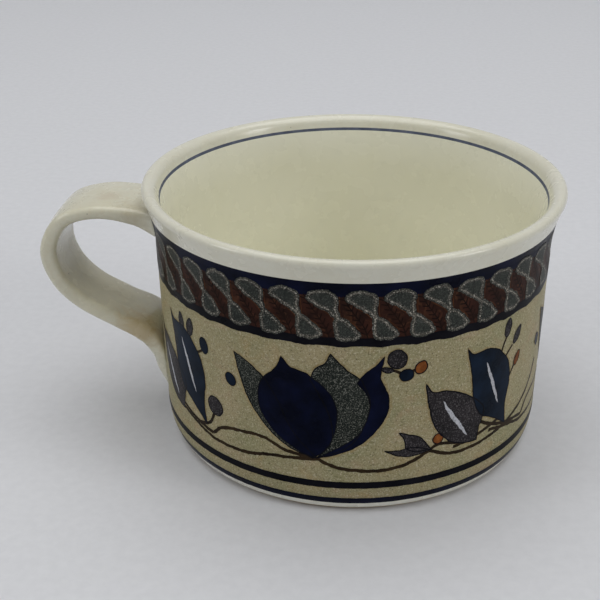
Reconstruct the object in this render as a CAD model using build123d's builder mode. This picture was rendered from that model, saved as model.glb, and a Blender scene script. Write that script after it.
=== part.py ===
"""A low, wide stoneware cup with a strap handle and painted bands under its glaze.

Millimetres, +Z up. The origin is on the cup's axis, in the plane the foot ring stands on.
The handle points along -X. Every glaze zone is a thin skin of its own, laid side by side
with its neighbours over the fired clay, and each skin stops where the handle is stuck on.
"""

import os

from build123d import *

# Driving dimensions of the cup
RIM_RADIUS = 49.0
HEIGHT = 63.0
WALL_RADIUS = 46.5
WALL_THICKNESS = 3.1
WALL_TAPER = 0.6
FLOOR_THICKNESS = 4.6
CORNER_RADIUS = 8.4
GLAZE = 0.4

# The lip flares out over its last stretch and is rounded over to the inside
FLARE_START = 50.0
LIP_EDGE = 61.5
CREST_RADIUS = 48.1
LIP_INSIDE = (45.6, 61.3)
LIP_INWARD = (0.93, -0.37)
INNER_WALL_TOP = 49.8

# Foot ring
FOOT_RADIUS = 43.4
FOOT_WIDTH = 4.0
FOOT_RECESS = 2.0
FOOT_CURVE = 8.0
FOOT_BARE = 1.0
FOOT_SPREAD = (0.7, 1)

# Heights where one painted band gives way to the next, outside
LOWER_LINE = (2.7, 4.4)
UPPER_LINE = (7.4, 9.0)
ROPE_EDGE = (43.1, 44.8)
ROPE_TOP = 55.0
LIP_START = 57.9

# The thin line painted around the inside, below the lip
RIM_LINE = (59.5, 60.2)

# Strap handle
STRAP_EDGE = 1.6
STRAP_ROUNDEST = 0.44
SMALLEST_COAT = 1.0

# Slip joints: each tapers from the wall out to the strap, between two upright sections,
# given as (distance from the axis, height of the centre, width, height of the section)
UPPER_JOINT = ((45.0, 53.0, 22.6, 8.2), (49.6, 54.3, 20.2, 5.4))
LOWER_JOINT = ((45.0, 22.0, 22.4, 18.0), (52.2, 24.9, 19.8, 9.0))
JOINT_ROUNDING = 2.4

os.makedirs("parts", exist_ok=True)


def save(piece, name):
    """Label one finished sub-part and write it to its own file."""
    piece.part.label = name
    export_step(piece.part, f"parts/{name}.step")


def cup_section(inset):
    """Half section of the cup in the XZ plane, drawn in by inset behind its glazed faces."""
    ring_inside = FOOT_RADIUS - FOOT_WIDTH + inset
    outer_wall = WALL_RADIUS - inset
    inner_wall = WALL_RADIUS - WALL_THICKNESS + inset
    recess = FOOT_RECESS + inset
    floor = FOOT_RECESS + FLOOR_THICKNESS - inset
    corner_top = FOOT_RECESS + FLOOR_THICKNESS + CORNER_RADIUS
    corner_edge = WALL_RADIUS - WALL_THICKNESS - WALL_TAPER - CORNER_RADIUS
    lip_inside = (LIP_INSIDE[0] + LIP_INWARD[0] * inset, LIP_INSIDE[1] + LIP_INWARD[1] * inset)
    with BuildSketch(Plane.XZ) as section:
        with BuildLine():
            under = Polyline((0, recess), (ring_inside, recess), (ring_inside, 0),
                             (FOOT_RADIUS - inset, 0))
            foot_curve = TangentArc(under @ 1, (outer_wall - WALL_TAPER, FOOT_CURVE), tangent=FOOT_SPREAD)
            wall = Line(foot_curve @ 1, (outer_wall, FLARE_START))
            flare = TangentArc(wall @ 1, (RIM_RADIUS - inset, LIP_EDGE), tangent=wall % 1)
            lip = TangentArc(flare @ 1, (CREST_RADIUS, HEIGHT - inset), tangent=flare % 1)
            crest = TangentArc(lip @ 1, lip_inside, tangent=(-1, 0))
            inner_lip = TangentArc(crest @ 1, (inner_wall, INNER_WALL_TOP), tangent=crest % 1)
            inside = Line(inner_lip @ 1, (inner_wall - WALL_TAPER, corner_top))
            corner = TangentArc(inside @ 1, (corner_edge, floor), tangent=inside % 1)
            Polyline(corner @ 1, (0, floor), (0, recess))
        make_face()
    return section.sketch


def cup_volume(section):
    """The cup's outer shape with no hollow: what anything stuck to the wall stops against."""
    with BuildPart() as volume:
        with BuildSketch(Plane.XZ):
            add(section)
            Rectangle(WALL_RADIUS - WALL_THICKNESS / 2, LIP_INSIDE[1] - 1,
                      align=(Align.MIN, Align.MIN))
        revolve(axis=Axis.Z)
    return volume.part


glazed_section = cup_section(0)
clay_section = cup_section(GLAZE)
clay_volume = cup_volume(clay_section)

# The strap's centre line: out from under the lip, round the bow, back to the wall and down it
with BuildLine(Plane.XZ) as strap_line:
    Spline(
        (-44.0, 52.3),
        (-51.5, 54.7),
        (-60.0, 55.4),
        (-67.8, 52.6),
        (-72.0, 45.2),
        (-70.6, 37.8),
        (-65.4, 31.9),
        (-57.2, 27.1),
        (-50.6, 23.6),
        (-47.4, 18.4),
        (-46.5, 13.8),
        (-44.6, 9.0),
    )
strap_path = strap_line.line

# Width and thickness of the strap at stations along that line, as (station, width, thickness)
STRAP_STATIONS = (
    (0.00, 19.2, 5.4),
    (0.06, 18.9, 4.3),
    (0.13, 18.8, 3.5),
    (0.22, 18.7, 3.2),
    (0.31, 18.3, 3.5),
    (0.41, 17.8, 4.1),
    (0.52, 17.6, 4.1),
    (0.63, 17.4, 3.9),
    (0.72, 17.5, 4.0),
    (0.80, 17.6, 4.6),
    (0.87, 16.2, 3.7),
    (0.93, 14.0, 3.0),
    (1.00, 11.0, 2.2),
)


def strap_solid(margin):
    """The whole strap, margin wider on every side, before it is cut at the wall."""
    with BuildPart() as strap:
        for station, width, thickness in STRAP_STATIONS:
            across = Plane(
                origin=strap_path @ station,
                x_dir=(0, 1, 0),
                z_dir=strap_path % station,
            )
            tall = thickness + 2 * margin
            with BuildSketch(across):
                RectangleRounded(width + 2 * margin, tall, min(STRAP_EDGE + margin, STRAP_ROUNDEST * tall))
        loft()
    return strap.part


def collar_solid(sections):
    """A tapering block of slip around the strap, from inside the wall outwards."""
    with BuildPart() as collar:
        for distance, height, width, tall in sections:
            upright = Plane(origin=(-distance, 0, height), x_dir=(0, 1, 0), z_dir=(-1, 0, 0))
            with BuildSketch(upright):
                RectangleRounded(width, tall, JOINT_ROUNDING)
        loft()
    return collar.part


strap_core = strap_solid(-GLAZE)
strap_glazed = strap_solid(0)
upper_collar = collar_solid(UPPER_JOINT)
lower_collar = collar_solid(LOWER_JOINT)

# Everything that stands on the wall, which the painted bands stop against
with BuildPart() as attachment:
    add(strap_glazed)
    add(upper_collar)
    add(lower_collar)

# Fired clay: wall, floor and foot ring in one piece, bare only under the foot
with BuildPart() as stoneware_body:
    with BuildSketch(Plane.XZ):
        add(clay_section)
    revolve(axis=Axis.Z)
save(stoneware_body, "stoneware_body")

# The strap, cut to the clay wall it is stuck on
with BuildPart() as strap_handle:
    add(strap_core)
    add(clay_volume, mode=Mode.SUBTRACT)
save(strap_handle, "strap_handle")

# Slip that swells around the strap where it meets the wall, above and below
for name, collar in (("upper_slip_joint", upper_collar), ("lower_slip_joint", lower_collar)):
    with BuildPart() as slip_joint:
        add(collar)
        add(strap_core, mode=Mode.SUBTRACT)
        add(clay_volume, mode=Mode.SUBTRACT)
    save(slip_joint, name)

# The cream coat on the strap, from one slip joint to the other and down the tail, without
# the crumbs left where the coat meets the joints' faces at a shallow angle
with BuildPart() as coat:
    add(strap_glazed)
    add(strap_core, mode=Mode.SUBTRACT)
    for solid in (clay_volume, upper_collar, lower_collar):
        add(solid, mode=Mode.SUBTRACT)
with BuildPart() as handle_glaze:
    add(coat.part.solids().filter_by(lambda solid: solid.volume > SMALLEST_COAT))
save(handle_glaze, "handle_glaze")

# Each glaze zone is cut from the skin by boxes of the section: radii, then heights. Inside,
# the box widens where the wall starts to lean out.
BORE_LIMIT = WALL_RADIUS - WALL_THICKNESS / 2 + 0.2
LIP_LIMIT = WALL_RADIUS - WALL_THICKNESS / 4
FOOT_LIMIT = FOOT_RADIUS - FOOT_WIDTH / 2
SKIRT = (FOOT_LIMIT, RIM_RADIUS + 1)
OUTSIDE = (BORE_LIMIT, RIM_RADIUS + 1)
INSIDE = (0, BORE_LIMIT)
UNDER_LIP = (0, LIP_LIMIT)
UNDERSIDE = (0, FOOT_LIMIT)
CLAY_FLOOR = FOOT_RECESS + FLOOR_THICKNESS - 2 * GLAZE
CLAY_MIDDLE = FOOT_RECESS + FLOOR_THICKNESS / 2

ZONES = (
    ("foot_glaze", (SKIRT, (FOOT_BARE, LOWER_LINE[0]))),
    ("lower_foot_line", (SKIRT, LOWER_LINE)),
    ("foot_stripe", (SKIRT, (LOWER_LINE[1], UPPER_LINE[0]))),
    ("upper_foot_line", (OUTSIDE, UPPER_LINE)),
    ("floral_ground", (OUTSIDE, (UPPER_LINE[1], ROPE_EDGE[0]))),
    ("rope_edge_line", (OUTSIDE, ROPE_EDGE)),
    ("rope_band", (OUTSIDE, (ROPE_EDGE[1], ROPE_TOP))),
    ("navy_band", (OUTSIDE, (ROPE_TOP, LIP_START))),
    ("rim_line", (UNDER_LIP, RIM_LINE)),
    ("interior_glaze", (INSIDE, (CLAY_FLOOR, FLARE_START)), (UNDER_LIP, (FLARE_START, RIM_LINE[0]))),
    ("base_glaze", (UNDERSIDE, (FOOT_BARE, CLAY_MIDDLE))),
)


def glaze_zone(boxes):
    """The skin between the clay and the glazed surface inside some boxes of the section."""
    with BuildSketch(Plane.XZ) as window:
        for radii, heights in boxes:
            with Locations((radii[0], heights[0])):
                Rectangle(radii[1] - radii[0], heights[1] - heights[0],
                          align=(Align.MIN, Align.MIN))
    with BuildPart() as zone:
        with BuildSketch(Plane.XZ):
            add(glazed_section)
            add(clay_section, mode=Mode.SUBTRACT)
            add(window.sketch, mode=Mode.INTERSECT)
        revolve(axis=Axis.Z)
        add(attachment.part, mode=Mode.SUBTRACT)
    return zone


for name, *boxes in ZONES:
    save(glaze_zone(boxes), name)

# The lip's coat runs from the navy band outside, over the crest, to the rim line inside
with BuildPart() as lip_glaze:
    with BuildSketch(Plane.XZ):
        add(glazed_section)
        add(clay_section, mode=Mode.SUBTRACT)
        with Locations((0, LIP_START)):
            Rectangle(RIM_RADIUS + 1, HEIGHT, align=(Align.MIN, Align.MIN), mode=Mode.INTERSECT)
        with Locations((0, 0)):
            Rectangle(LIP_LIMIT, RIM_LINE[1], align=(Align.MIN, Align.MIN), mode=Mode.SUBTRACT)
    revolve(axis=Axis.Z)
    add(attachment.part, mode=Mode.SUBTRACT)
save(lip_glaze, "lip_glaze")
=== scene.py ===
"""The looks of a low, wide stoneware mug with painted bands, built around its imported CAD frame."""

import math

import bpy
import mathutils
import numpy as np
from mathutils import Matrix, Vector
from mathutils.geometry import delaunay_2d_cdt


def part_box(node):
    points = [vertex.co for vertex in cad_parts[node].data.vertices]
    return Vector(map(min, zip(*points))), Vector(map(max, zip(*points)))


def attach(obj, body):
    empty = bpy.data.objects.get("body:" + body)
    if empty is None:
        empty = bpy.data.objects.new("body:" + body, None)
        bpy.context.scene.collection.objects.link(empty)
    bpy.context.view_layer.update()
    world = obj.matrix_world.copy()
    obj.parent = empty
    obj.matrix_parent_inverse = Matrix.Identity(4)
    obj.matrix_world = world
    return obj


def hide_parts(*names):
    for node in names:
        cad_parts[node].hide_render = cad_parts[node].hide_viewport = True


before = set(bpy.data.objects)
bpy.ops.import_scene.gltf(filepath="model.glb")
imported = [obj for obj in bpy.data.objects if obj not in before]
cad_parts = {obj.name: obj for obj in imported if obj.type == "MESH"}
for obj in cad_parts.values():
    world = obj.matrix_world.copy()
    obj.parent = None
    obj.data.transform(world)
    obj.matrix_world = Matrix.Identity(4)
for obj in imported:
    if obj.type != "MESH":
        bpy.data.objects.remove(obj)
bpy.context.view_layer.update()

MM = 0.001

# ---------------------------------------------------------------- sizes, read from the frame, in mm


def heights_mm(node):
    """The heights where a CAD node starts and where it ends, in millimetres."""
    low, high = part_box(node)
    return (low / MM).z, (high / MM).z


HEIGHT = heights_mm("lip_glaze")[1]
GLAZE = 0.4
FLOOR_TOP = heights_mm("interior_glaze")[0] + GLAZE
ROPE_HIGH = heights_mm("rope_band")[1]
LIP_START = heights_mm("navy_band")[1]
EDGE_LOW, EDGE_HIGH = heights_mm("rope_edge_line")

# The same outline as the clay's, with the glaze on it, in mm
RIM_RADIUS = 49.0
WALL_RADIUS = 46.5
WALL_THICKNESS = 3.1
WALL_TAPER = 0.6
FOOT_RADIUS = 43.4
FOOT_CURVE = 8.0
FOOT_LEAN = (0.7, 1)
FLARE_START = 50.0
LIP_EDGE = 61.5
CREST_RADIUS = 48.1
LIP_INSIDE = (45.6, 61.3)
INNER_WALL_TOP = 49.8
CORNER_RADIUS = 8.4
SKIN = 0.36
# The camera and the pattern's front are turned this many degrees round the cup, away from the handle
HANDLE_TURN = 4.75
# Closer than this to the axis, or to each other in height, points count as the same
ON_AXIS = 1e-6
SAME_HEIGHT = 1e-4
# How many pieces each stretch of the outline is cut into, outside and inside
FOOT_STEPS, WALL_STEPS, FLARE_STEPS, LIP_STEPS = 24, 60, 30, 20
CREST_STEPS, UNDER_LIP_STEPS, INNER_WALL_STEPS, CORNER_STEPS, FLOOR_STEPS = 16, 20, 50, 24, 30
# How finely each shape is cut round the cup and along the strap
TURNS = 400
RING_STEPS = 900
STRAP_STEP = 0.5
ROUND_STEPS = 56


def tangent_arc(start, direction, end, count):
    """Points on the arc that leaves start along direction and arrives at end, and its last direction."""
    start, end = np.array(start, float), np.array(end, float)
    direction = np.array(direction, float) / np.linalg.norm(direction)
    chord = end - start
    length = np.linalg.norm(chord)
    cross = direction[0] * chord[1] - direction[1] * chord[0]
    half = math.atan2(cross, float(direction @ chord))
    points = []
    for i in range(count + 1):
        turn = 2 * half * i / count
        reach = length * math.sin(turn / 2) / math.sin(half)
        c, s = math.cos(turn / 2), math.sin(turn / 2)
        step = np.array((direction[0] * c - direction[1] * s, direction[0] * s + direction[1] * c))
        points.append(start + reach * step)
    c, s = math.cos(2 * half), math.sin(2 * half)
    last = np.array((direction[0] * c - direction[1] * s, direction[0] * s + direction[1] * c))
    return points, last


def straight(start, end, count):
    """Evenly spaced points from start to end."""
    start, end = np.array(start, float), np.array(end, float)
    return [start + (end - start) * i / count for i in range(count + 1)]


def outer_outline():
    """The glazed outside from the foot ring up to the crest of the lip, as radius and height."""
    foot, _ = tangent_arc((FOOT_RADIUS, 0), FOOT_LEAN, (WALL_RADIUS - WALL_TAPER, FOOT_CURVE), FOOT_STEPS)
    wall = straight(foot[-1], (WALL_RADIUS, FLARE_START), WALL_STEPS)
    flare, turned = tangent_arc(wall[-1], wall[-1] - wall[-2], (RIM_RADIUS, LIP_EDGE), FLARE_STEPS)
    lip, _ = tangent_arc(flare[-1], turned, (CREST_RADIUS, HEIGHT), LIP_STEPS)
    return np.array(foot + wall[1:] + flare[1:] + lip[1:])


def inner_outline():
    """The glazed inside from the crest of the lip down to the middle of the floor."""
    inner_wall = WALL_RADIUS - WALL_THICKNESS
    low_wall = (inner_wall - WALL_TAPER, FLOOR_TOP + CORNER_RADIUS)
    corner_end = (low_wall[0] - CORNER_RADIUS, FLOOR_TOP)
    crest, turned = tangent_arc((CREST_RADIUS, HEIGHT), (-1, 0), LIP_INSIDE, CREST_STEPS)
    lip, _ = tangent_arc(crest[-1], turned, (inner_wall, INNER_WALL_TOP), UNDER_LIP_STEPS)
    wall = straight(lip[-1], low_wall, INNER_WALL_STEPS)
    corner, _ = tangent_arc(low_wall, wall[-1] - wall[-2], corner_end, CORNER_STEPS)
    floor = straight(corner[-1], (0.0, FLOOR_TOP), FLOOR_STEPS)
    return np.array(crest + lip[1:] + wall[1:] + corner[1:] + floor[1:])


OUTSIDE = outer_outline()
INSIDE = inner_outline()


def wall_radius(height):
    """Radius of the glazed outside at a height below the lip's crest."""
    return np.interp(height, OUTSIDE[:-1, 1], OUTSIDE[:-1, 0])


def between(outline, low, high):
    """The stretch of an outline between two heights, with its ends exactly there."""
    heights = outline[:, 1]
    rising = heights[-1] > heights[0]
    line = outline if rising else outline[::-1]
    kept = line[(line[:, 1] > low + SAME_HEIGHT) & (line[:, 1] < high - SAME_HEIGHT)]
    ends = [np.array((np.interp(h, line[:, 1], line[:, 0]), h)) for h in (low, high)]
    whole = np.vstack([ends[:1], kept, ends[1:]])
    return whole if rising else whole[::-1]


# ---------------------------------------------------------------- materials

GLAZE_IOR = 1.52
GLAZE_SPECULAR = 0.5
CREAM_COAT = 0.4
COAT_ROUGHNESS = 0.08
COAT_IOR = 1.5
# The painted bands are dull: they have no clear coat and little gloss
PAINT_SPECULAR = 0.035
PAINT_COAT = 0.0
CLAY_ROUGHNESS = 0.85
STRAND_ROUGHNESS = 0.34
# Low and high end of the roughness, each with its place on the noise from 0 to 1
GRAIN_ROUGHNESS = ((0.3, 0.30), (0.7, 0.46))


class Shader:
    """A small helper that adds nodes to one material and joins them up."""

    def __init__(self, name):
        self.material = bpy.data.materials.new(name)
        self.material.use_nodes = True
        self.tree = self.material.node_tree
        self.surface = self.tree.nodes["Principled BSDF"]
        self.coords = self.node("ShaderNodeTexCoord").outputs["Object"]

    @classmethod
    def of(cls, material):
        """The helper for a material that is already made."""
        helper = cls.__new__(cls)
        helper.material = material
        helper.tree = material.node_tree
        helper.surface = helper.tree.nodes["Principled BSDF"]
        helper.coords = helper.tree.nodes["Texture Coordinate"].outputs["Object"]
        return helper

    def node(self, kind, **settings):
        """A new node of a kind, with its settings."""
        made = self.tree.nodes.new(kind)
        for key, value in settings.items():
            setattr(made, key, value)
        return made

    def link(self, source, target):
        self.tree.links.new(source, target)

    def noise(self, size_mm, detail=4.0, rough=0.55, stretch=(1, 1, 1), distortion=0.0):
        """Fractal noise whose features are about size_mm across, from 0 to 1."""
        mapping = self.node("ShaderNodeMapping")
        mapping.inputs["Scale"].default_value = stretch
        self.link(self.coords, mapping.inputs["Vector"])
        made = self.node("ShaderNodeTexNoise")
        made.inputs["Scale"].default_value = 1 / (size_mm * MM)
        made.inputs["Detail"].default_value = detail
        made.inputs["Roughness"].default_value = rough
        made.inputs["Distortion"].default_value = distortion
        self.link(mapping.outputs[0], made.inputs["Vector"])
        return made.outputs["Fac"]

    def cells(self, size_mm):
        """Scattered points about size_mm apart: the distance to the nearest one, and its own colour."""
        made = self.node("ShaderNodeTexVoronoi")
        made.inputs["Scale"].default_value = 1 / (size_mm * MM)
        self.link(self.coords, made.inputs["Vector"])
        return made.outputs["Distance"], made.outputs["Color"]

    def ramp(self, value, *stops):
        """A colour ramp from (position, colour or grey level) stops."""
        made = self.node("ShaderNodeValToRGB")
        elements = made.color_ramp.elements
        while len(elements) < len(stops):
            elements.new(0.5)
        for element, (position, level) in zip(elements, stops):
            element.position = position
            element.color = (level, level, level, 1) if isinstance(level, (int, float)) else (*level, 1)
        self.link(value, made.inputs["Fac"])
        return made.outputs["Color"]

    def mix(self, share, first, second):
        """Blends two colours, each a socket or a plain colour, by a socket or a number."""
        made = self.node("ShaderNodeMix", data_type="RGBA")
        for value, socket in ((share, made.inputs[0]), (first, made.inputs[6]), (second, made.inputs[7])):
            if isinstance(value, bpy.types.NodeSocket):
                self.link(value, socket)
            elif isinstance(value, (int, float)):
                socket.default_value = value
            else:
                socket.default_value = (*value, 1)
        return made.outputs[2]

    def math(self, operation, first, second):
        """One sum on two values, each a socket or a number."""
        made = self.node("ShaderNodeMath", operation=operation)
        for value, socket in ((first, made.inputs[0]), (second, made.inputs[1])):
            if isinstance(value, bpy.types.NodeSocket):
                self.link(value, socket)
            else:
                socket.default_value = value
        return made.outputs[0]

    def bump(self, height, depth_mm, strength):
        """Small relief, as deep as depth_mm, from a height between 0 and 1."""
        made = self.node("ShaderNodeBump")
        made.inputs["Strength"].default_value = strength
        made.inputs["Distance"].default_value = depth_mm * MM
        self.link(height, made.inputs["Height"])
        self.link(made.outputs[0], self.surface.inputs["Normal"])

    def glaze(self, colour, roughness, coat, specular):
        """Fired glaze: the colour and its roughness, under as much clear coat as coat says."""
        self.surface.inputs["Specular IOR Level"].default_value = specular
        self.link(colour, self.surface.inputs["Base Color"])
        if isinstance(roughness, bpy.types.NodeSocket):
            self.link(roughness, self.surface.inputs["Roughness"])
        else:
            self.surface.inputs["Roughness"].default_value = roughness
        self.surface.inputs["IOR"].default_value = GLAZE_IOR
        self.surface.inputs["Coat Weight"].default_value = coat
        self.surface.inputs["Coat Roughness"].default_value = COAT_ROUGHNESS
        self.surface.inputs["Coat IOR"].default_value = COAT_IOR
        return self.material


def cream_material(name, light, deep, specks=True, warm=0.35, waves=0.55):
    """Cream glaze: soft mottling, a warmer tint where it pools, and a few dark pinholes."""
    s = Shader(name)
    cloud = s.noise(14, detail=3)
    fine = s.noise(1.1, detail=5)
    colour = s.mix(s.ramp(cloud, (0.35, 0.0), (0.68, 1.0)), light, deep)
    colour = s.mix(s.ramp(fine, (0.45, 0.0), (0.75, warm)), colour, (0.62, 0.52, 0.34))
    if specks:
        distance, cell = s.cells(3.6)
        rare = s.node("ShaderNodeSeparateColor")
        s.link(cell, rare.inputs[0])
        size = s.math("MULTIPLY", s.math("SUBTRACT", rare.outputs[0], 0.74), 0.30)
        inside = s.math("LESS_THAN", distance, size)
        colour = s.mix(s.math("MULTIPLY", inside, 0.75), colour, (0.16, 0.12, 0.08))
    roughness = s.ramp(s.noise(6, detail=3), (0.3, 0.20), (0.7, 0.32))
    s.bump(s.noise(5, detail=3), 0.10, waves)
    return s.glaze(colour, roughness, CREAM_COAT, GLAZE_SPECULAR)


def cream_with_stains_and_painted_light(name, light, deep, *stains_and_lit_patches):
    """Cream glaze with cloudy patches, each around a middle in mm, out to a reach in mm: real stains, and
    pale patches of painted light.
    """
    cream = cream_material(name, light, deep, warm=0.3)
    s = Shader.of(cream)
    colour = s.surface.inputs["Base Color"].links[0].from_socket
    for middle, reach_mm, most, patch_colour in stains_and_lit_patches:
        away = s.node("ShaderNodeVectorMath", operation="DISTANCE")
        s.link(s.coords, away.inputs[0])
        away.inputs[1].default_value = [c * MM for c in middle]
        cloud = s.math("MULTIPLY", s.math("SUBTRACT", s.noise(5, detail=4, distortion=1.5), 0.5), 1.4)
        share = s.math("DIVIDE", away.outputs["Value"], reach_mm * MM)
        near = s.math("SUBTRACT", s.math("ADD", cloud, 1.0), share)
        colour = s.mix(s.ramp(near, (0.05, 0.0), (0.75, most)), colour, patch_colour)
    s.link(colour, s.surface.inputs["Base Color"])
    return cream


def speckled_material(name, dark, mid, light, grain_mm, share=0.5):
    """Underglaze colour that broke up in the kiln into fine light and dark grains."""
    s = Shader(name)
    grain = s.noise(grain_mm, detail=2, rough=0.7)
    drift = s.noise(9, detail=3)
    colour = s.mix(s.ramp(drift, (0.35, 0.0), (0.65, 1.0)), dark, mid)
    spots = s.ramp(grain, (0.52, 0.0), (0.66, share))
    colour = s.mix(spots, colour, light)
    pits = s.ramp(s.noise(grain_mm * 1.7, detail=1), (0.56, 0.0), (0.7, 0.55))
    colour = s.mix(pits, colour, [c * 0.45 for c in dark])
    s.bump(grain, 0.02, 0.5)
    return s.glaze(colour, s.ramp(grain, *GRAIN_ROUGHNESS), PAINT_COAT, PAINT_SPECULAR)


def tan_material():
    """The tan ground: sandy grains, with drifts towards olive, ochre and pink."""
    s = Shader("tan_speckled_ground")
    drift = s.noise(11, detail=3)
    colour = s.mix(s.ramp(drift, (0.3, 0.0), (0.7, 1.0)), (0.30, 0.285, 0.150), (0.385, 0.325, 0.185))
    ochre = s.ramp(s.noise(8, detail=2, distortion=1.0), (0.55, 0.0), (0.75, 0.45))
    colour = s.mix(ochre, colour, (0.42, 0.29, 0.13))
    pink = s.ramp(s.noise(7, detail=3, distortion=0.6, stretch=(1, 1, 1.6)), (0.56, 0.0), (0.74, 0.4))
    colour = s.mix(pink, colour, (0.46, 0.31, 0.21))
    grain = s.noise(0.36, detail=2, rough=0.75)
    colour = s.mix(s.ramp(grain, (0.52, 0.0), (0.66, 0.75)), colour, (0.62, 0.56, 0.41))
    dark = s.ramp(s.noise(0.42, detail=2, rough=0.75), (0.30, 0.8), (0.45, 0.0))
    colour = s.mix(dark, colour, (0.12, 0.095, 0.05))
    s.bump(grain, 0.02, 0.6)
    return s.glaze(colour, s.ramp(grain, *GRAIN_ROUGHNESS), PAINT_COAT, PAINT_SPECULAR)


def dark_material(name, deep, bright, drift_mm=6):
    """Dense underglaze colour with slow drifts from black to its own hue."""
    s = Shader(name)
    drift = s.noise(drift_mm, detail=3)
    colour = s.mix(s.ramp(drift, (0.35, 0.0), (0.7, 1.0)), deep, bright)
    grain = s.ramp(s.noise(0.5, detail=2), (0.62, 0.0), (0.8, 0.12))
    colour = s.mix(grain, colour, [min(1.0, c * 3 + 0.02) for c in bright])
    s.bump(s.noise(1.2, detail=3), 0.015, 0.5)
    return s.glaze(colour, s.ramp(drift, (0.3, 0.26), (0.7, 0.38)), PAINT_COAT, PAINT_SPECULAR)


def strand_material():
    """The rope border's ground: rust-brown strands that drift from nearly black to rust."""
    s = Shader("rust_strand")
    drift = s.noise(3.2, detail=3)
    colour = s.mix(s.ramp(drift, (0.3, 0.0), (0.7, 1.0)), (0.018, 0.009, 0.007), (0.050, 0.018, 0.012))
    rust = s.ramp(s.noise(2.1, detail=3, distortion=1.2), (0.55, 0.0), (0.72, 0.7))
    colour = s.mix(rust, colour, (0.10, 0.042, 0.020))
    return s.glaze(colour, STRAND_ROUGHNESS, PAINT_COAT, PAINT_SPECULAR)


def clay_material():
    """Bare fired stoneware, as at the bottom of the foot ring."""
    s = Shader("bare_stoneware_clay")
    grain = s.noise(0.5, detail=5)
    colour = s.mix(s.ramp(grain, (0.3, 0.0), (0.7, 1.0)), (0.42, 0.33, 0.22), (0.58, 0.49, 0.36))
    s.link(colour, s.surface.inputs["Base Color"])
    s.surface.inputs["Roughness"].default_value = CLAY_ROUGHNESS
    s.bump(grain, 0.05, 0.7)
    return s.material


# Colours are linear red, green and blue: the glaze's light and deep cream
CREAM = cream_material("cream_glaze", (0.745, 0.73, 0.61), (0.715, 0.695, 0.56), warm=0.15, waves=0.3)
# Painted light: the inside's cream is the same glaze as the lip's, painted lighter to brighten the shaded
# inside of the cup.
CREAM_INSIDE_PAINTED_LIGHT = cream_material(
    "cream_glaze_inside_painted_light", (0.85, 0.835, 0.69), (0.835, 0.82, 0.665), specks=False, warm=0.0, waves=0.12
)
CREAM_HANDLE = cream_with_stains_and_painted_light(
    "cream_glaze_handle", (0.72, 0.70, 0.56), (0.67, 0.64, 0.48),
    # Painted light: a pale patch on the lower strap's upward face, lighter where light falls on it; the three
    # after it are stains near the joints.
    ((-61, 0, 31), 12, 0.7, (0.84, 0.79, 0.58)),
    ((-52, -8, 25), 8, 0.75, (0.52, 0.40, 0.20)),
    ((-50, -7, 55), 6, 0.45, (0.42, 0.35, 0.20)),
    ((-58, -2, 57), 4, 0.30, (0.50, 0.38, 0.26)),
)
# Painted bounce light: the foot's cream is the same glaze as the lip's, painted lighter to stand for light
# thrown up from the table.
CREAM_FOOT_PAINTED_BOUNCE = cream_material(
    "cream_glaze_foot_painted_bounce", (0.88, 0.87, 0.77), (0.84, 0.82, 0.70), specks=False, warm=0.15
)

# Dense paints: the deep and the bright end of each
RIM_BLUE = dark_material("slate_blue_line_paint", (0.09, 0.105, 0.15), (0.14, 0.16, 0.22), 3)
NAVY = dark_material("navy_paint", (0.0012, 0.0022, 0.009), (0.0035, 0.006, 0.026))
NAVY_LEAF = dark_material("navy_leaf_paint", (0.003, 0.007, 0.015), (0.008, 0.018, 0.038))
BLACK_LINE = dark_material("black_line_paint", (0.003, 0.003, 0.005), (0.008, 0.008, 0.012))
RUST_LINE = dark_material("rust_hatching_paint", (0.05, 0.02, 0.010), (0.11, 0.042, 0.018), 2)
RUST_DARK = dark_material("rust_shadow_paint", (0.010, 0.006, 0.005), (0.022, 0.010, 0.007), 2)
BROWN = dark_material("brown_vine_paint", (0.018, 0.012, 0.007), (0.045, 0.028, 0.014), 4)
ORANGE = dark_material("orange_berry_paint", (0.12, 0.035, 0.010), (0.28, 0.095, 0.025), 2)

# Paints that broke up: the dark and middle tone, the light grains, their size in mm and their share
GREY = speckled_material(
    "grey_green_petal_paint", (0.011, 0.015, 0.013), (0.022, 0.027, 0.023), (0.30, 0.30, 0.26), 0.27, 0.7
)
GREY_DARK = speckled_material(
    "grey_leaf_paint", (0.017, 0.016, 0.017), (0.034, 0.030, 0.032), (0.17, 0.155, 0.16), 0.34, 0.6
)
LENS = speckled_material(
    "rope_lens_paint", (0.026, 0.030, 0.027), (0.042, 0.046, 0.040), (0.16, 0.165, 0.145), 0.26, 0.55
)
LENS_EDGE = speckled_material(
    "rope_lens_edge_paint", (0.05, 0.048, 0.04), (0.12, 0.11, 0.09), (0.66, 0.62, 0.53), 0.28, 1.0
)
LENS_GRAIN = speckled_material(
    "rope_lens_grain_paint", (0.025, 0.028, 0.025), (0.045, 0.046, 0.04), (0.32, 0.31, 0.27), 0.26, 0.75
)
WHITE = speckled_material(
    "white_midrib_paint", (0.42, 0.43, 0.46), (0.55, 0.56, 0.60), (0.70, 0.70, 0.72), 0.3, 0.5
)
TAN_HALO = speckled_material(
    "ochre_halo_paint", (0.32, 0.25, 0.12), (0.38, 0.31, 0.16), (0.52, 0.46, 0.31), 0.36, 0.7
)

TAN = tan_material()
RUST = strand_material()
CLAY = clay_material()


# ---------------------------------------------------------------- mesh making


def add_mesh(name, vertices, faces, material, sharp=35):
    """One object riding on the mug, from millimetre vertices; edges over sharp degrees stay crisp."""
    mesh = bpy.data.meshes.new(name)
    mesh.from_pydata([tuple(float(c) * MM for c in v) for v in vertices], [], faces)
    mesh.materials.append(material)
    mesh.validate()
    for polygon in mesh.polygons:
        polygon.use_smooth = True
    mesh.set_sharp_from_angle(angle=math.radians(sharp))
    made = bpy.data.objects.new(name, mesh)
    bpy.context.scene.collection.objects.link(made)
    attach(made, "root")
    return made


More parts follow.
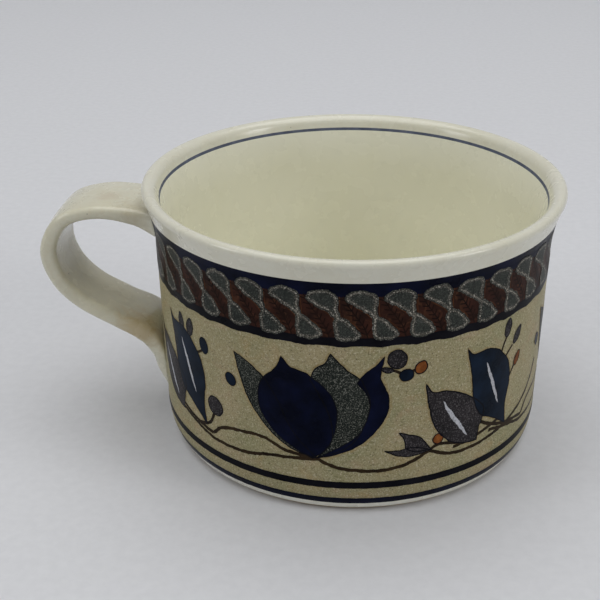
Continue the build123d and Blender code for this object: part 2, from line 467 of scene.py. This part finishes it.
def inward(face, depth):
    """The same stretch of outline, moved depth to the left of its direction, with its ends' heights kept."""
    steps = np.gradient(face, axis=0)
    steps /= np.linalg.norm(steps, axis=1)[:, None]
    normals = np.stack([-steps[:, 1], steps[:, 0]], 1)
    moved = face + normals * depth
    moved[:, 0] = np.maximum(moved[:, 0], 0)
    moved[0, 1] = face[0, 1]
    moved[-1, 1] = face[-1, 1]
    return moved


def revolved(name, face, material, slot, *nodes):
    """A skin of glaze: the stretch of outline turned about the axis, closed behind."""
    ring = np.vstack([face, inward(face, SKIN)[::-1]])
    count = len(ring)
    angles = np.linspace(0, 2 * math.pi, TURNS, endpoint=False)
    vertices = [(r * math.cos(a), r * math.sin(a), z) for a in angles for r, z in ring]
    faces = []
    for turn in range(TURNS):
        here, there = turn * count, (turn + 1) % TURNS * count
        for i in range(count):
            j = (i + 1) % count
            if max(ring[i][0], ring[j][0]) > ON_AXIS:
                faces.append((here + i, there + i, there + j, here + j))
    made = add_mesh(name, vertices, faces, material)
    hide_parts(*nodes)
    return made


def pattern_angle(degrees):
    """Turns an angle measured from the front of the pattern into one about the cup's axis."""
    return math.radians(degrees - 90 + HANDLE_TURN)


# ---------------------------------------------------------------- the cup's skins


def glazed_zones():
    """Every band of the outside, the lip, the rim line and the inside."""
    outside_bands = (
        ("foot_glaze", CREAM_FOOT_PAINTED_BOUNCE, "cream_glaze"),
        ("lower_foot_line", NAVY, "navy_underglaze"),
        ("foot_stripe", TAN, "tan_ground"),
        ("upper_foot_line", BLACK_LINE, "navy_underglaze"),
        ("floral_ground", TAN, "tan_ground"),
        ("rope_edge_line", NAVY, "navy_underglaze"),
        ("rope_band", RUST, "rope_border"),
        ("navy_band", NAVY, "navy_underglaze"),
    )
    for node, material, slot in outside_bands:
        face = between(OUTSIDE, *heights_mm(node))
        revolved(node + "_paint", face, material, slot, node)
    line_low, line_high = heights_mm("rim_line")
    lip = np.vstack([between(OUTSIDE, LIP_START, HEIGHT), between(INSIDE, line_high, HEIGHT)[1:]])
    revolved("lip_glaze_coat", lip, CREAM, "cream_glaze", "lip_glaze")
    revolved("rim_line_paint", between(INSIDE, line_low, line_high), RIM_BLUE, "slate_blue_line", "rim_line")
    inside = INSIDE[INSIDE[:, 1] < line_low]
    start = between(INSIDE, line_low - 1, line_low)[:1]
    revolved("interior_glaze_coat", np.vstack([start, inside]), CREAM_INSIDE_PAINTED_LIGHT, "cream_glaze", "interior_glaze")


glazed_zones()

# ---------------------------------------------------------------- painting on the wall

MM_PER_DEGREE = math.radians(1) * WALL_RADIUS
NOISE_LAYER_GAP = 7.3
RING_NOISE_RADIUS = 40
STROKE_UNEVENNESS = 0.25
STROKE_NOISE_SCALE = 1.7


def noise_at(x, y, layer):
    """Smooth noise between about -1 and 1, different in each layer."""
    return mathutils.noise.noise(Vector((x, y, layer * NOISE_LAYER_GAP)))


def smooth(points, step=0.4):
    """A Catmull-Rom curve through points, sampled about every step millimetres."""
    p = [np.array(q, float) for q in points]
    p = [2 * p[0] - p[1]] + p + [2 * p[-1] - p[-2]]
    out = []
    for a, b, c, d in zip(p, p[1:], p[2:], p[3:]):
        count = max(2, int(np.linalg.norm(c - b) / step))
        for i in range(count):
            t = i / count
            bend = (2 * a - 5 * b + 4 * c - d) * t**2
            out.append(0.5 * (2 * b + (c - a) * t + bend + (3 * b - a - 3 * c + d) * t**3))
    return np.array(out + [p[-2]])


def shaky(points, amount=0.10, size=1.1):
    """The same points, pushed about as an unsteady brush would."""
    return np.array([
        (x + amount * noise_at(x / size, y / size, 1), y + amount * noise_at(x / size, y / size, 2))
        for x, y in points
    ])


def petal(at, *sides):
    """A closed outline from sides of (degrees, mm) points, sharp where one side meets the next."""
    out = []
    for side in sides:
        out.extend(smooth(flat(at, side))[:-1])
    return shaky(out)


def flat(at, points):
    """Points of the unrolled wall in millimetres, from (degrees, mm) points moved round by at degrees."""
    return [((at + a) * MM_PER_DEGREE, z) for a, z in points]


def spindle(middle, length, width, tilt, pointed=0.0):
    """A closed bud or berry outline; tilt is degrees anticlockwise from upright."""
    c, s = math.cos(math.radians(tilt)), math.sin(math.radians(tilt))
    out = []
    count = max(14, int(2.6 * length / 0.4))
    for i in range(count):
        t = 2 * math.pi * i / count
        along = -length / 2 * math.cos(t)
        across = width / 2 * math.sin(t) * (1 - pointed * max(0.0, -math.cos(t)) ** 2)
        out.append((middle[0] - along * s + across * c, middle[1] + along * c + across * s))
    return shaky(out[::-1])


class Paint:
    """All the strokes and fills of one colour, laid on the wall at one small lift."""

    def __init__(self, name, material, slot, lift):
        self.name, self.material, self.slot, self.lift = name, material, slot, lift
        self.vertices, self.faces = [], []

    def add(self, points, faces):
        """Lays flat points, in mm on the unrolled wall, and their faces onto the cup."""
        base = len(self.vertices)
        for x, y in points:
            angle = pattern_angle(x / MM_PER_DEGREE)
            radius = wall_radius(y) + self.lift
            self.vertices.append((radius * math.cos(angle), radius * math.sin(angle), y))
        self.faces.extend([tuple(base + i for i in face) for face in faces])

    def fill(self, outline, spacing=0.85):
        """Fills a closed outline with triangles small enough to follow the wall."""
        outline = np.array(outline)
        (x0, y0), (x1, y1) = outline.min(0), outline.max(0)
        columns = np.arange(x0 + spacing / 2, x1, spacing)
        rows = np.arange(y0 + spacing / 2, y1, spacing)
        a, b = outline, np.roll(outline, -1, 0)
        inner = []
        for x in columns:
            for y in rows:
                cuts = (a[:, 1] > y) != (b[:, 1] > y)
                where = a[cuts, 0] + (y - a[cuts, 1]) * (b[cuts, 0] - a[cuts, 0]) / (b[cuts, 1] - a[cuts, 1])
                clear = np.min(np.hypot(a[:, 0] - x, a[:, 1] - y)) > spacing * 0.45
                if clear and np.count_nonzero(where > x) % 2:
                    inner.append((x, y))
        points = [Vector((float(x), float(y))) for x, y in list(outline) + inner]
        made = delaunay_2d_cdt(points, [], [list(range(len(outline)))], 1, 1e-5)
        self.add(made[0], made[2])

    def line(self, points, width, taper=0.0, closed=False, shake=0.06):
        """A brush line along points, thinner towards its ends by the share taper."""
        p = shaky(points, shake)
        if closed:
            steps = np.roll(p, -1, 0) - np.roll(p, 1, 0)
        else:
            steps = np.gradient(p, axis=0)
        steps /= np.linalg.norm(steps, axis=1)[:, None] + 1e-9
        sides = np.stack([-steps[:, 1], steps[:, 0]], 1)
        count = len(p)
        ends = np.sin(np.linspace(0, math.pi, count)) ** 0.6 if taper else np.ones(count)
        thick = np.array([
            width / 2 * (1 - taper + taper * e)
            * (1 + STROKE_UNEVENNESS * noise_at(x * STROKE_NOISE_SCALE, y * STROKE_NOISE_SCALE, 5))
            for e, (x, y) in zip(ends, p)
        ])[:, None]
        strip = np.stack([p - sides * thick, p + sides * thick], 1).reshape(-1, 2)
        last = count if closed else count - 1
        faces = [(2 * i, 2 * ((i + 1) % count), 2 * ((i + 1) % count) + 1, 2 * i + 1) for i in range(last)]
        self.add(strip, faces)

    def ring(self, low, high, ragged, bumps=0.0, rows=3):
        """A stripe all the way round with ragged edges, whose lower one dips between the fans by bumps."""
        count = RING_STEPS
        points = []
        for i in range(count):
            x = 360 * MM_PER_DEGREE * i / count
            angle = 2 * math.pi * i / count
            turn = Vector((math.cos(angle), math.sin(angle))) * RING_NOISE_RADIUS
            under = mathutils.noise.noise(Vector((turn.x, turn.y, low))) * 0.6 + 0.5
            over = mathutils.noise.noise(Vector((turn.x, turn.y, high + 50))) * 0.6 + 0.5
            dip = bumps * abs(math.sin(math.pi * (x / MM_PER_DEGREE - FAN_PHASE) / FAN_PITCH))
            bottom, top = low - ragged * under - dip, high + ragged * over
            points.extend((x, bottom + (top - bottom) * j / rows) for j in range(rows + 1))
        wide = rows + 1
        faces = [
            (i * wide + j, (i + 1) % count * wide + j, (i + 1) % count * wide + j + 1, i * wide + j + 1)
            for i in range(count) for j in range(rows)
        ]
        self.add(points, faces)

    def make(self):
        """The piece itself, once all of its colour is on."""
        return add_mesh(self.name, self.vertices, self.faces, self.material, 80)


# Each paint's name, material, slot and lift off the wall in mm
VINE = Paint("vines_and_stems", BROWN, "tan_ground", 0.035)
PETAL_GREY = Paint("grey_petals", GREY, "rope_border", 0.045)
LEAF_GREY = Paint("grey_leaves_and_buds", GREY_DARK, "rope_border", 0.045)
PETAL_NAVY = Paint("navy_petals", NAVY, "navy_underglaze", 0.06)
LEAF_NAVY = Paint("navy_leaves", NAVY_LEAF, "navy_underglaze", 0.06)
BERRY = Paint("orange_berries", ORANGE, "rope_border", 0.05)
EDGE = Paint("dark_outlines", BLACK_LINE, "navy_underglaze", 0.08)
MIDRIB = Paint("white_midribs", WHITE, "rope_border", 0.095)
HALO = Paint("ochre_halos", TAN_HALO, "tan_ground", 0.02)

# ---------------------------------------------------------------- the flowers


def outlined(fill, outline, width=0.26, halo=0.0):
    """One painted shape with its dark outline, and a warm halo where the colours bled."""
    fill.fill(outline)
    EDGE.line(outline, width, closed=True, shake=0.03)
    if halo:
        HALO.line(outline, halo, closed=True, shake=0.25)


# Outlines are in degrees round the cup from the middle of the flower, and mm above the table


def tulip(at):
    """A bell-shaped flower: a broad navy petal between two grey ones, and a dark crescent."""
    outlined(PETAL_GREY, petal(at,
        [(-23.2, 37.6), (-18, 35.6), (-13.5, 32.6), (-10, 28)],
        [(-10, 28), (-6, 21), (0.5, 14.9)],
        [(0.5, 14.9), (-6.5, 16.6), (-12.5, 20), (-18.4, 26), (-21.2, 31.5), (-23.2, 37.6)]), halo=1.3)
    outlined(PETAL_NAVY, petal(at,
        [(17.9, 40.5), (15.8, 38.6), (13.0, 36.7), (11.0, 34.4)],
        [(11.0, 34.4), (13.8, 31), (14.2, 27), (11, 21), (0.4, 14.9)],
        [(0.4, 14.9), (8.8, 17.3), (15.2, 21.4), (18.9, 26.4), (19.2, 31), (17.0, 35.6), (17.9, 40.5)],
    ), 0.2, 1.3)
    outlined(PETAL_GREY, petal(at,
        [(4.1, 41.2), (2.8, 39), (0, 37.2), (-1.2, 34.6)],
        [(-1.2, 34.6), (3.5, 27), (4.6, 20), (0.6, 15.0)],
        [(0.6, 15.0), (8.4, 18), (12.6, 22.8), (14.5, 29.4), (12.2, 35)],
        [(12.2, 35), (7.6, 38), (4.1, 41.2)]), halo=1.0)
    outlined(PETAL_NAVY, petal(at,
        [(-8.9, 39.4), (-10.8, 36), (-14.2, 33.4), (-15.9, 29.6),
         (-15.3, 25), (-11.5, 20.4), (-5.5, 16.8), (-0.6, 14.8)],
        [(-0.6, 14.8), (3.2, 17.6), (5.4, 22.4), (5.8, 27.6), (3.4, 32.2), (-2, 36)],
        [(-2, 36), (-6.6, 37.2), (-8.9, 39.4)]), 0.2, 0.9)


def leaf_pair(at):
    """A grey leaf and a taller navy leaf, each with a white midrib."""
    outlined(LEAF_GREY, petal(at,
        [(29.3, 32.8), (31.6, 30.4), (36.5, 29.8), (42.5, 27.4)],
        [(42.5, 27.4), (47, 24.4), (48.9, 21.6), (47.4, 17.8), (46.9, 14.6)],
        [(46.9, 14.6), (41.5, 15.2), (36.6, 17.4), (32.6, 21.6), (30.6, 27), (29.3, 32.8)]), 0.3, 1.0)
    outlined(LEAF_NAVY, petal(at,
        [(41.3, 38.9), (43.6, 37.2), (49, 37.2), (53.2, 35.8)],
        [(53.2, 35.8), (57.6, 31.6), (59, 26.2), (58, 20.4), (58.8, 15)],
        [(58.8, 15), (53, 18.4), (47.4, 21.2), (44.6, 26), (43.4, 32), (41.3, 38.9)]), 0.24, 1.0)
    MIDRIB.line(smooth(flat(at, [(34.6, 27.4), (38, 23), (43.2, 16.9)])), 0.95, 0.95, shake=0.24)
    MIDRIB.line(smooth(flat(at, [(48.3, 34.0), (51.4, 28), (54.4, 21.9)])), 0.85, 0.95, shake=0.14)


def buds(at):
    """Two grey buds and an orange one, on stalks from the navy leaf."""
    for a, z, length, width, tilt, fill in (
        (56.2, 40.3, 4.6, 2.3, -8, LEAF_GREY),
        (61.0, 37.2, 4.4, 2.2, -32, LEAF_GREY),
        (62.0, 30.9, 3.8, 2.0, -28, BERRY),
    ):
        outlined(fill, spindle(flat(at, [(a, z)])[0], length, width, tilt, 0.35), 0.2)
    for stalk in (
        [(55.8, 38), (54.6, 36), (53.8, 34)],
        [(59, 35.2), (56, 33), (54, 31.6)],
        [(60.6, 29.4), (59, 27.4), (57, 26)],
    ):
        VINE.line(smooth(flat(at, stalk)), 0.6)


def small_growth(at):
    """The berry and the two-lobed leaf under the grey leaf."""
    VINE.line(smooth(flat(at, [(31, 15.6), (33.6, 16.6), (37, 16.4), (41, 15.4)])), 0.8)
    outlined(LEAF_GREY, petal(at,
        [(22.4, 21.4), (25.2, 20.6), (28.6, 19.4), (31.8, 16)],
        [(31.8, 16), (27.4, 15.9), (24.4, 17.3)],
        [(24.4, 17.3), (24, 19.4), (22.4, 21.4)]), 0.24)
    outlined(LEAF_GREY, petal(at,
        [(18.7, 17.0), (22.4, 16.8), (26.4, 17.2), (31.8, 15.8)],
        [(31.8, 15.8), (26.6, 14.9), (22.2, 15.5), (18.7, 17.0)]), 0.24)
    outlined(BERRY, spindle(flat(at, [(33.8, 18.2)])[0], 2.7, 2.5, 0), 0.24)


def berries(at):
    """Berries beside the flower: a stem of them to its right, and one to its left."""
    VINE.line(smooth(flat(at, [(17.4, 37.2), (20.4, 37), (23.4, 36), (26.4, 36.8)])), 0.7)
    outlined(LEAF_GREY, spindle(flat(at, [(18.6, 37.3)])[0], 2.9, 1.3, 78, 0.4), 0.22)
    outlined(LEAF_GREY, spindle(flat(at, [(21.2, 39.7)])[0], 4.5, 4.1, 20), 0.24, 0.7)
    outlined(LEAF_NAVY, spindle(flat(at, [(23.8, 35.7)])[0], 2.9, 3.1, 0), 0.24, 0.7)
    outlined(BERRY, spindle(flat(at, [(27.7, 37.2)])[0], 3.1, 2.7, -30, 0.25), 0.28, 0.5)
    outlined(LEAF_NAVY, spindle(flat(at, [(-24.8, 30.2)])[0], 3.3, 2.7, 25), 0.22, 0.6)


def vines(at):
    """Thin brown vines that join the flower to the leaves, a little above the foot lines."""
    for line in (
        [(0.2, 15.0), (4.6, 13.2), (10, 12.3), (16.4, 12), (24, 12.8), (31.6, 15.5)],
        [(31.6, 15.5), (37, 13.6), (43, 13.2), (50, 13.6), (58.6, 14.8), (66.8, 17), (73.4, 20.6), (77, 25)],
        [(38.8, 14.9), (45, 15.4), (51.6, 16.6), (56.4, 17.4)],
        [(-32.6, 13.5), (-29, 16.2), (-22.6, 17.5), (-15, 17.9), (-8, 15.8), (0.9, 14.9)],
        [(-50, 15.6), (-41, 13.9), (-32, 12.2), (-21, 12.4), (-12.6, 13.7), (0.9, 14.7)],
        [(-56, 20), (-48, 16.5), (-40, 14.6), (-32.6, 13.5)],
    ):
        VINE.line(smooth(flat(at, line)), 0.86, shake=0.16)


# Degrees round the cup from its front
FLOWERS = (-12, 89.5, 195)
LEAVES_BY_HANDLE = -106


def paint_flowers():
    """Three flowers with their leaves and berries, and one more pair of leaves by the handle."""
    for at in FLOWERS:
        tulip(at)
        leaf_pair(at)
        buds(at)
        small_growth(at)
        berries(at)
        vines(at)
    leaf_pair(LEAVES_BY_HANDLE)
    outlined(LEAF_NAVY, spindle(flat(0, [(-46.6, 35.6)])[0], 4.0, 2.7, 12), 0.2)
    outlined(LEAF_GREY, spindle(flat(0, [(-57.4, 38.2)])[0], 4.4, 2.3, 6, 0.3), 0.2)
    outlined(LEAF_GREY, spindle(flat(0, [(-52.8, 38.3)])[0], 4.6, 2.6, -10, 0.3), 0.2)
    VINE.line(smooth(flat(0, [(-53.4, 36.2), (-53.6, 34.6), (-54, 32)])), 0.6)
    VINE.line(smooth(flat(0, [(-47.6, 34), (-49.6, 33), (-51.6, 32.4)])), 0.6)
    outlined(LEAF_GREY, spindle(flat(0, [(-43.2, 21.2)])[0], 4.9, 4.5, 30), 0.22)
    VINE.line(smooth(flat(0, [(-42.8, 20.8), (-44.4, 18), (-46.4, 15.6), (-52, 14)])), 0.8)


# ---------------------------------------------------------------- the rope border

FAN_COUNT = 37
FAN_PITCH = 360 / FAN_COUNT
FAN_PHASE = -0.4
HATCH_SLANT = 48
HATCH_ARM = 1.4

FAN = Paint("rope_fans", LENS, "rope_border", 0.06)
FAN_SHADE = Paint("rope_fan_grain", LENS_GRAIN, "rope_border", 0.07)
FAN_EDGE = Paint("rope_fan_outlines", LENS_EDGE, "rope_border", 0.085)
HATCH = Paint("rope_hatching", RUST_DARK, "rope_border", 0.05)
STRAND_EDGE = Paint("rope_strand_edges", RUST_LINE, "rope_border", 0.045)
RAGGED = Paint("ragged_dark_stripes", BLACK_LINE, "navy_underglaze", 0.055)
RAGGED_NAVY = Paint("ragged_navy_stripe", NAVY, "navy_underglaze", 0.04)


def paint_rope():
    """A twisted rope: waisted lenses with fan-shaped ends, between slanted, hatched strands."""
    for i in range(FAN_COUNT):
        at = FAN_PHASE + i * FAN_PITCH
        high = petal(at,
            [(3.9, 49.4), (1.7, 51.2), (-1.2, 52.7), (-3.5, 54.0)],
            [(-3.5, 54.0), (-2.9, 54.9), (-1.2, 55.6), (1.0, 55.6), (2.8, 55.0), (3.5, 54.2)],
            [(3.5, 54.2), (3.35, 52), (3.9, 49.4)])
        low = petal(at,
            [(3.8, 49.7), (6.2, 48.5), (8.2, 47.0), (9.4, 45.7)],
            [(9.4, 45.7), (8.4, 45.2), (6.4, 44.9), (4.3, 45.1), (3.8, 45.4)],
            [(3.8, 45.4), (3.5, 47.4), (3.8, 49.7)])
        for outline in (high, low):
            FAN.fill(outline)
            FAN_SHADE.line(outline, 1.1, closed=True, shake=0.25)
            FAN_EDGE.line(outline, 0.38, closed=True, shake=0.2)
        twist = smooth(flat(at, [(5.2, 54.8), (6.6, 52.4), (8.7, 49.8), (10.6, 47.4), (11.6, 45.0)]))
        for side in (
            [(4.4, 54.6), (4.5, 51.6), (5.0, 49.6), (7.6, 48.5), (9.4, 47)],
            [(6.4, 53.6), (8.6, 52), (11.4, 50.4), (12.9, 48.8), (12.7, 46)],
        ):
            STRAND_EDGE.line(smooth(flat(at, side)), 0.20)
        HATCH.line(twist, 0.24)
        for j in range(3, len(twist) - 1, 3):
            here = twist[j]
            back = twist[j - 2] - here
            back /= np.linalg.norm(back)
            for turn in (math.radians(HATCH_SLANT), -math.radians(HATCH_SLANT)):
                c, s = math.cos(turn), math.sin(turn)
                arm = np.array((back[0] * c - back[1] * s, back[0] * s + back[1] * c))
                HATCH.line([here, here + arm * (HATCH_ARM / 2), here + arm * HATCH_ARM], 0.26, shake=0.04)


paint_flowers()
paint_rope()
RAGGED.ring(*heights_mm("upper_foot_line"), 0.12)
RAGGED_NAVY.ring(*heights_mm("lower_foot_line"), 0.12)
RAGGED.ring(EDGE_LOW + 0.35, EDGE_HIGH + 0.1, 0.3, 0.45)
RAGGED_NAVY.ring(ROPE_HIGH - 0.3, ROPE_HIGH + 0.6, 0.35)
for paint in (VINE, PETAL_GREY, LEAF_GREY, PETAL_NAVY, LEAF_NAVY, BERRY, EDGE, MIDRIB, HALO,
              FAN, FAN_SHADE, FAN_EDGE, HATCH, STRAND_EDGE, RAGGED, RAGGED_NAVY):
    paint.make()

# ---------------------------------------------------------------- the handle

# The middle line of the strap in the plane through the cup's axis, from the lip down to the tail
STRAP_LINE = (
    (-45.2, 52.6), (-51.5, 54.7), (-60.0, 55.4), (-68.2, 52.8), (-72.2, 45.4), (-70.6, 37.8),
    (-65.4, 31.9), (-57.2, 27.1), (-50.6, 23.6), (-47.4, 18.4), (-46.5, 13.8), (-44.6, 9.0),
)
# Along the strap: share of its length, width and thickness
STRAP_SIZES = (
    (0.00, 19.2, 5.2), (0.06, 18.9, 4.2), (0.13, 18.8, 3.4), (0.22, 18.7, 3.1), (0.31, 18.3, 3.4),
    (0.41, 17.8, 4.1), (0.52, 17.6, 4.1), (0.63, 17.4, 3.9), (0.72, 17.5, 4.0), (0.80, 17.6, 4.8),
    (0.87, 16.2, 3.7), (0.93, 14.0, 3.0), (1.00, 11.0, 2.2),
)
STRAP_EDGE = 1.6
STRAP_ROUNDEST = 0.46
STRAP_CROWN = 0.22
STRAP_LUMPS = 0.14
# The strap spreads from this far off the wall, fades this deep inside it, and grows by this much
FILLET_REACH = 4.5
FILLET_DEPTH = 1.2
UPPER_SPREAD = 0.7
LOWER_SPREAD = 1.8


def strap_section(width, thick):
    """A flat strap cut across: a rectangle with rounded edges and slightly crowned faces."""
    edge = min(STRAP_EDGE, STRAP_ROUNDEST * thick)
    points = []
    quarter = ROUND_STEPS // 8
    for corner in range(4):
        x_side, z_side = ((1, 1), (-1, 1), (-1, -1), (1, -1))[corner]
        for i in range(quarter + 1):
            t = math.pi / 2 * (corner + i / quarter)
            across = x_side * (width / 2 - edge) + edge * math.cos(t)
            points.append((across, z_side * (thick / 2 - edge) + edge * math.sin(t)))
        if corner % 2 == 0:
            half = width / 2 - edge
            for i in range(1, quarter):
                across = x_side * half * (1 - 2 * i / quarter)
                crown = STRAP_CROWN * (1 - (across / half) ** 2)
                points.append((across, z_side * (thick / 2 + crown)))
        else:
            points.extend((x_side * width / 2, z_side * (thick / 2 - edge) * (1 - 2 * i / 3)) for i in (1, 2))
    return points


def handle():
    """A pulled strap, flat in section, that spreads where it is stuck to the wall."""
    line = smooth(STRAP_LINE, STRAP_STEP)
    runs = np.linalg.norm(np.diff(line, axis=0), axis=1)
    shares = np.concatenate([[0], np.cumsum(runs)]) / runs.sum()
    sizes = np.array(STRAP_SIZES)
    vertices = []
    for (x, z), share, step in zip(line, shares, np.gradient(line, axis=0)):
        width, thick = (np.interp(share, sizes[:, 0], sizes[:, k]) for k in (1, 2))
        step = step / np.linalg.norm(step)
        out = (-step[1], step[0])
        section = strap_section(width, thick)
        for across, up in section:
            lump = STRAP_LUMPS * mathutils.noise.noise(Vector((share * 9, across / 6, up / 6)))
            grow = 1 + lump / max(1.0, math.hypot(across, up))
            point = Vector((x + out[0] * up * grow, across * grow, z + out[1] * up * grow))
            vertices.append(spread(point, Vector((x, 0, z))))
    count, around = len(line), len(section)
    faces = []
    for i in range(count - 1):
        here, there = i * around, (i + 1) * around
        for j in range(around):
            k = (j + 1) % around
            faces.append((here + j, there + j, there + k, here + k))
    faces.append(tuple(range(around)))
    faces.append(tuple((count - 1) * around + j for j in reversed(range(around))))
    made = add_mesh("strap_handle_glazed", vertices, faces, CREAM_HANDLE, 60)
    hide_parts("strap_handle", "handle_glaze", "upper_slip_joint", "lower_slip_joint")


def spread(point, middle):
    """Moves a point of the strap away from its middle where it comes close to the wall."""
    gap = math.hypot(point.x, point.y) - wall_radius(min(point.z, LIP_EDGE))
    near = max(0.0, min(1.0, 1 - gap / FILLET_REACH)) * max(0.0, min(1.0, 1 + gap / FILLET_DEPTH))
    away = point - middle
    radial = Vector((point.x, point.y, 0)).normalized()
    away -= radial * away.dot(radial)
    if away.length < 1e-6:
        return point
    widest = UPPER_SPREAD if middle.z > HEIGHT / 2 else LOWER_SPREAD
    return point + away.normalized() * widest * near**2


handle()

for node in ("stoneware_body", "base_glaze"):
    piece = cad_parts[node]
    piece.data.materials.clear()
    piece.data.materials.append(CLAY if node == "stoneware_body" else CREAM)

# ---------------------------------------------------------------- stage, lights and camera

# The camera's distance, aim, lens and sensor are in mm, and its height angle and roll in degrees
CAMERA_DISTANCE = 271.0
CAMERA_HEIGHT_ANGLE = 26.58
CAMERA_ROLL = -0.44
CAMERA_AIM = (-12.54, 0.0, 30.6)
CAMERA_LENS = 66.0
CAMERA_SENSOR = 36
# The table's size, and where and how steeply it sweeps up behind, in metres
TABLE_REACH = 2.5
SWEEP_START = 1.2
SWEEP_RADIUS = 1.3
SWEEP_TOP = 3.5
SWEEP_STEPS = 24
# Each light's name, place, aim, size in metres, power in watts and colour
LIGHTS = (
    ("overhead", (0.0, 0.1, 1.3), (0, 0, 0.03), (1.3, 1.3), 8.6, (1.0, 1.0, 0.99)),
    ("left_box", (-1.15, -0.45, 0.75), (0, 0, 0.03), (0.4, 0.5), 2.1, (1.0, 1.0, 1.0)),
    ("right_box", (1.15, -0.45, 0.75), (0, 0, 0.03), (0.4, 0.5), 2.9, (1.0, 1.0, 1.0)),
    ("backdrop", (0.0, 0.9, 1.1), (0, 2.4, 0.9), (1.6, 0.4), 6.5, (1.0, 1.0, 1.0)),
)


def set_camera():
    """Looks down at the mug from its front, with the handle to the left."""
    rise = math.radians(CAMERA_HEIGHT_ANGLE)
    turn = Matrix.Rotation(math.radians(HANDLE_TURN), 4, "Z")
    forward = Vector((0, math.cos(rise), -math.sin(rise)))
    place = Vector(CAMERA_AIM) - forward * CAMERA_DISTANCE
    look = forward.to_track_quat("-Z", "Y").to_matrix().to_4x4()
    roll = Matrix.Rotation(math.radians(CAMERA_ROLL), 4, "Z")
    data = bpy.data.cameras.new("camera")
    data.lens = CAMERA_LENS
    data.sensor_width = CAMERA_SENSOR
    camera = bpy.data.objects.new("camera", data)
    camera.matrix_world = turn @ Matrix.Translation(place * MM) @ look @ roll
    bpy.context.scene.collection.objects.link(camera)
    bpy.context.scene.camera = camera


def area_light(name, place, aim, size, power, colour):
    """A soft rectangular light at place, turned to aim."""
    data = bpy.data.lights.new(name, "AREA")
    data.shape = "RECTANGLE"
    data.size, data.size_y = size
    data.energy = power
    data.color = colour
    light = bpy.data.objects.new(name, data)
    direction = Vector(aim) - Vector(place)
    light.location = place
    light.rotation_euler = direction.to_track_quat("-Z", "Y").to_euler()
    bpy.context.scene.collection.objects.link(light)


def set_stage():
    """A pale table that sweeps up behind, under soft studio light."""
    mesh = bpy.data.meshes.new("table")
    line = [(-TABLE_REACH, 0.0)]
    for i in range(SWEEP_STEPS + 1):
        turn = i / SWEEP_STEPS * math.pi / 2
        line.append((SWEEP_START + SWEEP_RADIUS * math.sin(turn), SWEEP_RADIUS * (1 - math.cos(turn))))
    line.append((TABLE_REACH, SWEEP_TOP))
    vertices = [(x, y, z) for y, z in line for x in (-TABLE_REACH, TABLE_REACH)]
    faces = [(2 * i, 2 * i + 1, 2 * i + 3, 2 * i + 2) for i in range(len(line) - 1)]
    mesh.from_pydata(vertices, [], faces)
    for polygon in mesh.polygons:
        polygon.use_smooth = True
    s = Shader("pale_table")
    paper = s.noise(2.5, detail=4)
    colour = s.mix(s.ramp(paper, (0.35, 0.0), (0.65, 1.0)), (0.70, 0.705, 0.725), (0.73, 0.735, 0.755))
    s.link(colour, s.surface.inputs["Base Color"])
    s.surface.inputs["Roughness"].default_value = 0.6
    mesh.materials.append(s.material)
    table = bpy.data.objects.new("table", mesh)
    bpy.context.scene.collection.objects.link(table)
    studio_sky()
    for light in LIGHTS:
        area_light(*light)


def studio_sky():
    """Light from all round, strongest overhead and weak near the horizon."""
    world = bpy.data.worlds.new("studio")
    bpy.context.scene.world = world
    world.use_nodes = True
    tree = world.node_tree
    coords = tree.nodes.new("ShaderNodeTexCoord")
    parts = tree.nodes.new("ShaderNodeSeparateXYZ")
    ramp = tree.nodes.new("ShaderNodeValToRGB")
    tree.links.new(coords.outputs["Generated"], parts.inputs[0])
    tree.links.new(parts.outputs["Z"], ramp.inputs["Fac"])
    tree.links.new(ramp.outputs["Color"], tree.nodes["Background"].inputs["Color"])
    elements = ramp.color_ramp.elements
    elements[0].position, elements[0].color = 0.0, (0.20, 0.202, 0.21, 1)
    elements[1].position, elements[1].color = 0.9, (0.37, 0.375, 0.39, 1)


set_stage()
set_camera()
bpy.context.scene.view_settings.view_transform = "Standard"
